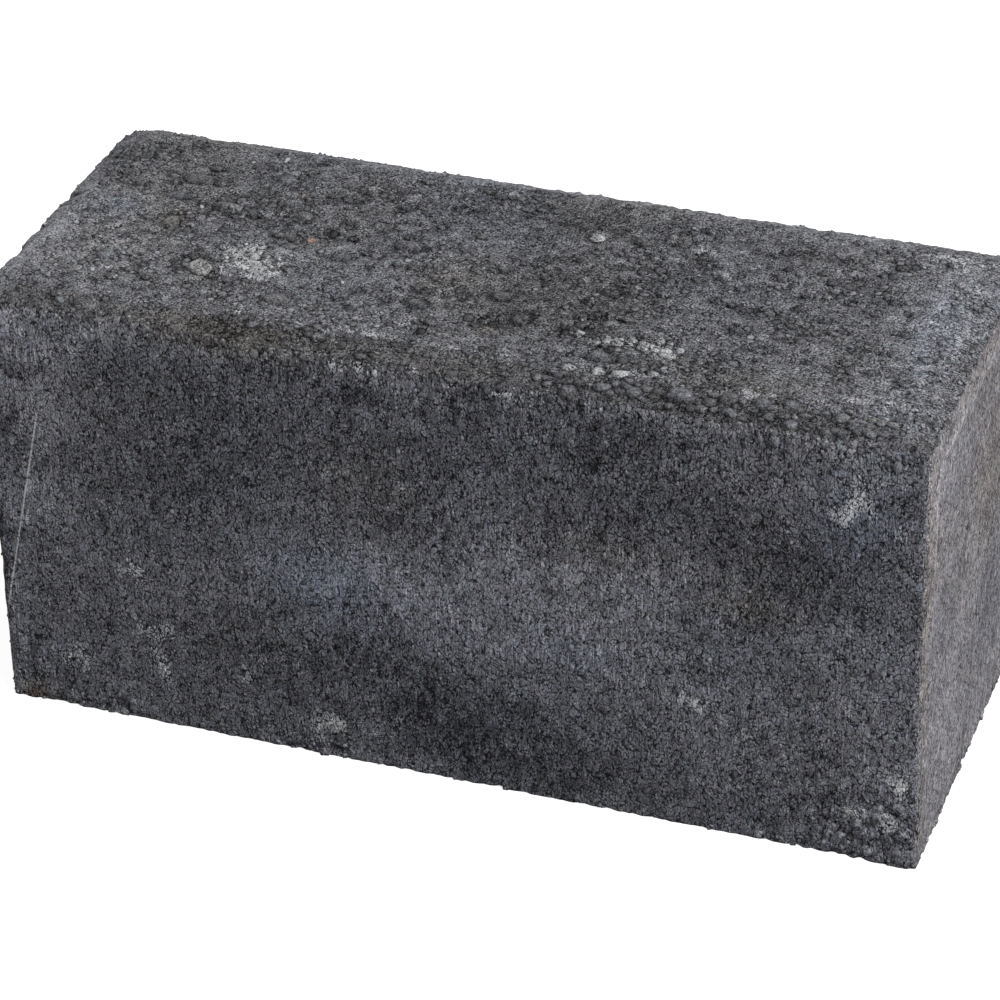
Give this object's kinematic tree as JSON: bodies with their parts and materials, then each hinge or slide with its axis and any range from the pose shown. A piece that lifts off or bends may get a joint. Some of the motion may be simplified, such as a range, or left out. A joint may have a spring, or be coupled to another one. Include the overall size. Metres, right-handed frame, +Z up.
{
  "type": "concrete wall block",
  "caption": "Solid anthracite concrete wall block, pressed in one piece, with a sloping facet round its top face and softly worn arrises, for dry-stacked or mortared garden walls.",
  "frame": {"origin": "middle of the bed face that the block stands on", "axes": "+X along the block's length, +Y across its width from the front face to the back face, +Z up out of the pressed top face"},
  "size_m": [0.3, 0.12, 0.15],
  "materials": {
    "concrete": "open-grained pressed concrete, dyed anthracite, rough on top and drawn on the sides, with pale lime bloom"
  },
  "bodies": {
    "root": {"wall_block": "concrete"}
  },
  "joints": []
}
